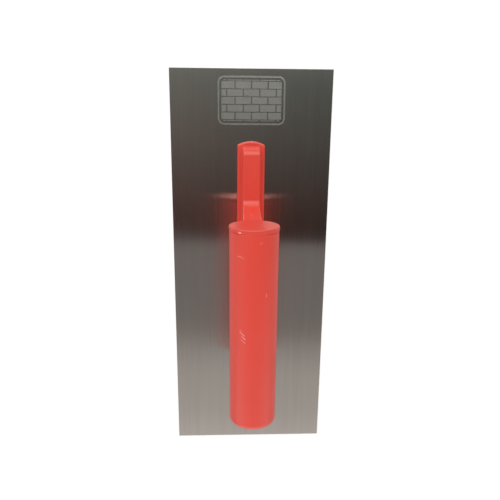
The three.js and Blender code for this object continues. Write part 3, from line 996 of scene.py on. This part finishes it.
class TROWEL_OT_screws(bpy.types.Operator):
    """Make the countersunk screws that hold the blade to the handle"""

    bl_idname = "trowel.make_screws"
    bl_label = "Screws"

    def execute(self, context):
        scene = context.scene
        s = scene.trowel_screws
        piece = self.one_screw(s)
        material = zinc_material(scene.trowel_finish)
        use_tree(piece, screw_row_tree(), {
            "Count": s.count, "Spacing": s.pitch, "Turn": s.turn, "Material": material,
        })
        settle(piece)
        sharpen(piece, degrees=45)
        join_frame(piece, material, "screw_steel", *SCREWS)
        return {"FINISHED"}

    def one_screw(self, s):
        """One screw upright on the origin, its head down."""
        segments, rings_per_thread, inset = 40, 10, 0.1 * MM
        low, high = SCREW_LOW.z, SCREW_HIGH.z
        neck = low + HEAD_RIM + HEAD_RADIUS - s.shank_radius
        core = s.shank_radius - s.thread_depth
        head = [
            (0, low),
            (HEAD_RADIUS / 2, low),
            (HEAD_RADIUS, low),
            (HEAD_RADIUS, low + HEAD_RIM),
            (s.shank_radius, neck),
        ]
        rings = round((high - neck) / s.thread_pitch * rings_per_thread)
        shank = [(core, z) for z in np.linspace(neck + inset, high - inset, rings)]
        vertices, faces = turned([*head, *shank, (0, high)], segments)
        threaded = vertices[1 + (len(head) - 1) * segments : -1]
        angle = np.arctan2(threaded[:, 1], threaded[:, 0]) / (2 * math.pi)
        phase = (threaded[:, 2] / s.thread_pitch - angle) % 1.0
        half_ridge, blunt_tip = 0.3, 0.2
        ridge = np.clip(1 - np.abs(phase - 0.5) / half_ridge, 0, 1)
        to_tip = np.clip((high - threaded[:, 2]) / s.tip_length, blunt_tip, 1)
        radius = (core + s.thread_depth * ridge) * to_tip
        threaded[:, :2] *= (radius / np.hypot(threaded[:, 0], threaded[:, 1]))[:, None]
        screw = new_piece("countersunk_screws", vertices, faces)
        cutter = self.cross_cutter(s)
        cut = screw.modifiers.new("Recess", "BOOLEAN")
        cut.operation, cut.solver, cut.object = "DIFFERENCE", "EXACT", cutter
        settle(screw)
        bpy.data.objects.remove(cutter)
        return screw

    def cross_cutter(self, s):
        """A cross-shaped plug, as one solid, that narrows towards the floor of the recess."""
        rings = []
        below_head = (2.35 * MM, 0.5 * MM, SCREW_LOW.z - 1 * MM)
        at_floor = (0.7 * MM, 0.35 * MM, SCREW_LOW.z + s.recess_depth)
        for half_length, half_width, z in (below_head, at_floor):
            corners = [(half_length, -half_width), (half_length, half_width), (half_width, half_width)]
            ring = []
            for _ in range(4):
                ring += [(x, y, z) for x, y in corners]
                corners = [(-y, x) for x, y in corners]
            rings.append(ring)
        sides = len(rings[0])
        faces = [tuple(reversed(range(sides))), tuple(range(sides, 2 * sides))]
        for i in range(sides):
            j = (i + 1) % sides
            faces.append((i, j, sides + j, sides + i))
        mesh = bpy.data.meshes.new("cross_cutter")
        mesh.from_pydata(rings[0] + rings[1], [], faces)
        cutter = bpy.data.objects.new("cross_cutter", mesh)
        bpy.context.scene.collection.objects.link(cutter)
        return cutter


class TROWEL_OT_stage(bpy.types.Operator):
    """Make the floor, the lights and the camera"""

    bl_idname = "trowel.make_stage"
    bl_label = "Stage"

    def execute(self, context):
        scene = context.scene
        s = scene.trowel_stage
        self.make_floor(scene)
        self.make_camera(scene, s)
        self.make_world(scene, s)
        self.make_light("key_light", Vector((-0.2, 0.8, 0.75)), size=0.7, power=s.key)
        self.make_light("small_lamp", Vector((-0.35, 0.9, 0.55)), size=0.06, power=s.lamp)
        scene.view_settings.view_transform = "Standard"
        return {"FINISHED"}

    def make_floor(self, scene):
        """A wide floor just under the blade."""
        half = 3.0
        gap = 0.3 * MM
        below = BLADE_LOW.z - gap
        corners = [(-half, -half, below), (half, -half, below), (half, half, below), (-half, half, below)]
        floor = new_piece("floor", corners, [(0, 1, 2, 3)])
        floor.data.materials.append(floor_material(scene.trowel_finish))

    def make_camera(self, scene, s):
        """A camera high above the toe half, a little to the left, tilted back to the middle."""
        data = bpy.data.cameras.new("camera")
        data.lens = s.lens
        data.clip_start = 0.01
        camera = bpy.data.objects.new("camera", data)
        scene.collection.objects.link(camera)
        turn = Vector([math.radians(angle) for angle in CAMERA_TURN])
        camera.rotation_mode = "QUATERNION"
        camera.rotation_quaternion = Matrix.Rotation(turn.length, 3, turn).transposed().to_quaternion()
        camera.location = CAMERA_PLACE
        scene.camera = camera

    def make_world(self, scene, s):
        """A pale room with a dark patch overhead, which the steel reflects."""
        world = bpy.data.worlds.new("studio")
        world.use_nodes = True
        scene.world = world
        nodes = Nodes(world.node_tree)
        background = world.node_tree.nodes["Background"]
        x, y, z = nodes.split(nodes.add("ShaderNodeTexCoord").outputs["Generated"])
        tilt = nodes.math("ARCTAN2", y, nodes.math("MAXIMUM", z, 0.001))
        slant = 0.045
        slanted = nodes.math("ADD", tilt, nodes.math("MULTIPLY", x, slant))
        ramp = nodes.add("ShaderNodeValToRGB", nodes.spread(slanted, -math.pi / 2, math.pi / 2))
        stops = ramp.color_ramp.elements
        for i, (angle, level) in enumerate(ROOM):
            position = (angle + 90) / 180
            stop = stops[i] if i < 2 else stops.new(position)
            stop.position = position
            stop.color = rgba(level)
        started = nodes.spread(tilt, *map(math.radians, PATCH_START))
        not_ended = nodes.spread(tilt, *map(math.radians, PATCH_END), 1.0, 0.0)
        patch = nodes.math("MULTIPLY", started, not_ended)
        graded = nodes.blend(nodes.spread(x, -0.15, 0.12), *map(rgba, PATCH_TINTS))
        tint = nodes.blend(patch, (1.0, 1.0, 1.0, 1.0), graded)
        tinted = nodes.scaled(ramp.outputs["Color"], tint)
        low_down = nodes.math("POWER", nodes.math("ABSOLUTE", x), 4.0)
        walls = nodes.blend(nodes.spread(x, -0.1, 0.1), *map(rgba, WALLS))
        lit = nodes.blend(low_down, tinted, walls)
        nodes.put(background.inputs["Color"], lit)
        background.inputs["Strength"].default_value = s.room
        seen = nodes.add("ShaderNodeBackground", rgba(BACKDROP), 1.0)
        camera_ray = nodes.add("ShaderNodeLightPath").outputs["Is Camera Ray"]
        mixed = nodes.add("ShaderNodeMixShader", camera_ray, background.outputs[0], seen.outputs[0])
        output = world.node_tree.nodes["World Output"]
        nodes.put(output.inputs["Surface"], mixed.outputs[0])

    def make_light(self, name, place, size, power):
        """A round light, aimed at the middle of the handle."""
        middle = Vector((0, 30 * MM, 30 * MM))
        data = bpy.data.lights.new(name, "AREA")
        data.shape = "DISK"
        data.size = size
        data.energy = power
        light = bpy.data.objects.new(name, data)
        bpy.context.scene.collection.objects.link(light)
        light.location = place
        light.rotation_mode = "QUATERNION"
        light.rotation_quaternion = (middle - place).to_track_quat("-Z", "Y")


class TROWEL_PT_panel(bpy.types.Panel):
    """The trowel's pieces and their sizes"""

    bl_label = "Finishing trowel"
    bl_idname = "TROWEL_PT_panel"
    bl_space_type = "VIEW_3D"
    bl_region_type = "UI"
    bl_category = "Trowel"

    def draw(self, context):
        for operator in OPERATORS:
            self.layout.operator(operator.bl_idname)
        for name, group in GROUPS.items():
            box = self.layout.box()
            box.label(text=group.__doc__)
            for key in group.__annotations__:
                box.prop(getattr(context.scene, name), key)


OPERATORS = (TROWEL_OT_blade, TROWEL_OT_handle, TROWEL_OT_cap, TROWEL_OT_screws, TROWEL_OT_stage)
CLASSES = (*GROUPS.values(), *OPERATORS, TROWEL_PT_panel)


def register():
    for cls in CLASSES:
        bpy.utils.register_class(cls)
    for name, group in GROUPS.items():
        setattr(bpy.types.Scene, name, PointerProperty(type=group))


def unregister():
    for name in GROUPS:
        delattr(bpy.types.Scene, name)
    for cls in reversed(CLASSES):
        bpy.utils.unregister_class(cls)


def main():
    register()
    bpy.ops.trowel.make_blade()
    bpy.ops.trowel.make_handle()
    bpy.ops.trowel.make_cap()
    bpy.ops.trowel.make_screws()
    bpy.ops.trowel.make_stage()


if __name__ == "__main__":
    main()
